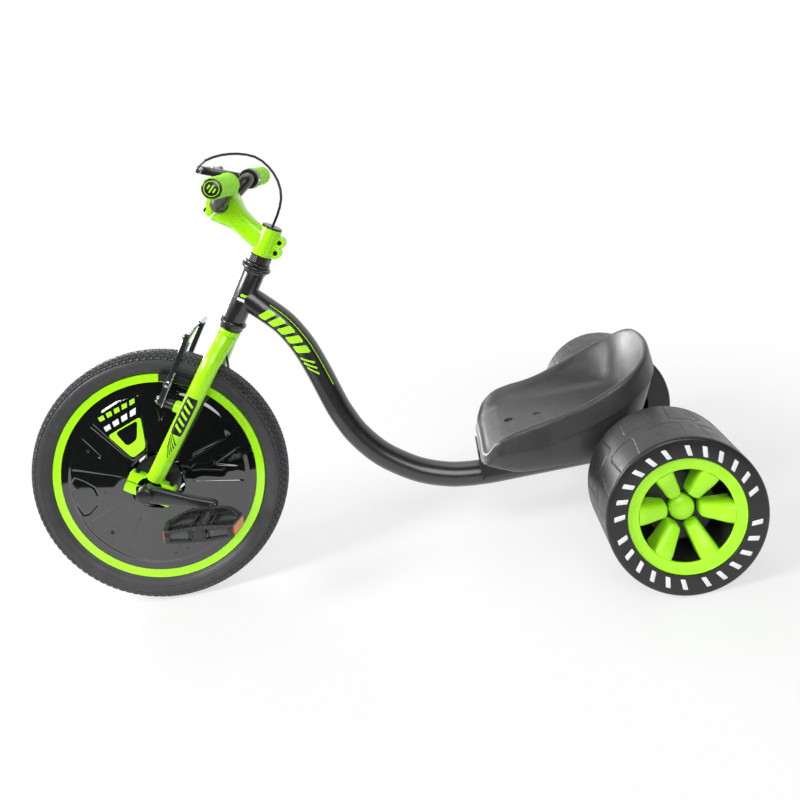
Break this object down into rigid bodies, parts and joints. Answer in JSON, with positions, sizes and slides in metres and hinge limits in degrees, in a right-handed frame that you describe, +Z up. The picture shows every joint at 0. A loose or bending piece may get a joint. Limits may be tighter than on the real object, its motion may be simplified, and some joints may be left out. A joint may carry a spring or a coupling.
{
  "type": "drift trike",
  "caption": "Child's drift trike: pedalled and braked front wheel in a raked fork, swept tube frame, low bucket seat and wide slick rear wheels.",
  "frame": {"origin": "on the ground under the middle of the trike's length and width", "axes": "+X from the front wheel back to the rear wheels, +Y to the side of the brake lever, +Z up"},
  "size_m": [1.0394, 0.544, 0.6675],
  "materials": {
    "tyre_rubber": "matt black rubber with a small block tread and smooth grey-black walls",
    "lime_paint": "glossy bright lime green paint",
    "lime_plastic": "moulded bright lime green plastic, soft gloss",
    "disc_plastic": "smooth glossy black moulding",
    "bright_steel": "bright turned and plated steel",
    "black_steel": "black satin coated steel",
    "black_gloss_paint": "glossy black paint",
    "black_plastic": "black moulded plastic",
    "black_alloy": "black satin coated cast alloy",
    "pad_rubber": "matt black brake rubber",
    "cable_skin": "smooth black cable housing",
    "amber_lens": "clear amber reflector face",
    "lime_grip": "soft lime green ribbed rubber",
    "seat_plastic": "fine-grained charcoal moulded plastic",
    "sleeve_plastic": "hard smooth charcoal plastic, slightly scuffed"
  },
  "bodies": {
    "frame": {"frame_tube": "black_gloss_paint", "head_tube": "black_gloss_paint", "headset_cup_upper": "black_gloss_paint", "headset_cup_lower": "black_gloss_paint", "rear_axle_tube": "black_gloss_paint", "rear_axle": "bright_steel", "axle_nut_left": "bright_steel", "axle_nut_right": "bright_steel", "seat_bracket": "black_steel", "seat_shell": "seat_plastic"},
    "front_fork": {"steerer_tube": "black_steel", "fork_leg_left": "lime_paint", "fork_leg_right": "lime_paint", "fork_cap_left": "lime_paint", "fork_cap_right": "lime_paint", "crank_bearing_left": "bright_steel", "crank_bearing_right": "bright_steel", "headset_locknut": "black_gloss_paint", "headset_bearing_upper": "bright_steel", "headset_bearing_lower": "bright_steel", "stem": "lime_paint", "stem_faceplate": "lime_paint", "stem_top_cap": "black_plastic", "handlebar": "black_steel", "grip_left": "lime_grip", "grip_right": "lime_grip", "bar_plug_left": "black_plastic", "bar_plug_right": "black_plastic", "lever_mount": "black_alloy", "lever_pin": "bright_steel", "barrel_adjuster": "bright_steel", "brake_cable": "cable_skin"},
    "lever": {"brake_lever": "black_alloy"},
    "brake_arm_left_body": {"brake_arm_left": "black_alloy", "brake_pad_left": "pad_rubber"},
    "brake_arm_right_body": {"brake_arm_right": "black_alloy", "brake_pad_right": "pad_rubber", "cable_noodle": "bright_steel"},
    "crankset": {"crank_axle": "black_steel", "crank_arm_left": "black_gloss_paint", "crank_arm_right": "black_gloss_paint", "axle_cap_left": "black_plastic", "axle_cap_right": "black_plastic"},
    "pedal_left_body": {"pedal_left": "black_plastic", "pedal_reflector_left_front": "amber_lens", "pedal_reflector_left_rear": "amber_lens"},
    "pedal_right_body": {"pedal_right": "black_plastic", "pedal_reflector_right_front": "amber_lens", "pedal_reflector_right_rear": "amber_lens"},
    "front_wheel": {"front_tyre": "tyre_rubber", "front_rim": "lime_paint", "wheel_disc_left": "disc_plastic", "wheel_disc_right": "disc_plastic", "front_hub": "bright_steel"},
    "rear_wheel_left": {"rear_sleeve_left": "sleeve_plastic", "rear_wheel_core_left": "lime_plastic", "rear_cap_left": "lime_plastic"},
    "rear_wheel_right": {"rear_sleeve_right": "sleeve_plastic", "rear_wheel_core_right": "lime_plastic", "rear_cap_right": "lime_plastic"}
  },
  "joints": [
    {"name": "steering", "type": "hinge", "parent": "frame", "child": "front_fork", "pos_m": [-0.13887, 0, 0.4469], "axis": [0.5592, 0, 0.829], "continuous": true},
    {"name": "crank_spin", "type": "hinge", "parent": "front_fork", "child": "crankset", "pos_m": [-0.32275, 0, 0.197], "axis": [0, 1, 0], "continuous": true},
    {"name": "front_wheel_freewheel", "type": "hinge", "parent": "crankset", "child": "front_wheel", "pos_m": [-0.32275, 0, 0.197], "axis": [0, 1, 0], "continuous": true},
    {"name": "pedal_left_spin", "type": "hinge", "parent": "crankset", "child": "pedal_left_body", "pos_m": [-0.22791, -0.1325, 0.15945], "axis": [0, 1, 0], "continuous": true},
    {"name": "pedal_right_spin", "type": "hinge", "parent": "crankset", "child": "pedal_right_body", "pos_m": [-0.41759, 0.1325, 0.23455], "axis": [0, 1, 0], "continuous": true},
    {"name": "brake_lever_pull", "type": "hinge", "parent": "front_fork", "child": "lever", "pos_m": [-0.16537, 0.079, 0.64376], "axis": [-0.3682, 0, -0.9298], "range_deg": [0, 22], "stiffness_Nm_per_rad": 1, "springref_deg": -8.59},
    {"name": "brake_arm_left_close", "type": "hinge", "parent": "front_fork", "child": "brake_arm_left_body", "pos_m": [-0.27246, -0.043, 0.31627], "axis": [-0.829, 0, 0.5592], "range_deg": [0, 2.6]},
    {"name": "brake_arm_right_close", "type": "hinge", "parent": "front_fork", "child": "brake_arm_right_body", "pos_m": [-0.27246, 0.043, 0.31627], "axis": [0.829, 0, -0.5592], "range_deg": [0, 2.6]},
    {"name": "rear_wheel_left_spin", "type": "hinge", "parent": "frame", "child": "rear_wheel_left", "pos_m": [0.41525, -0.211, 0.1045], "axis": [0, 1, 0], "continuous": true},
    {"name": "rear_wheel_right_spin", "type": "hinge", "parent": "frame", "child": "rear_wheel_right", "pos_m": [0.41525, 0.211, 0.1045], "axis": [0, 1, 0], "continuous": true}
  ],
  "couplings": [
    {"joint": "brake_arm_left_close", "follows": "brake_lever_pull", "ratio": 0.11818},
    {"joint": "brake_arm_right_close", "follows": "brake_lever_pull", "ratio": 0.11818}
  ]
}
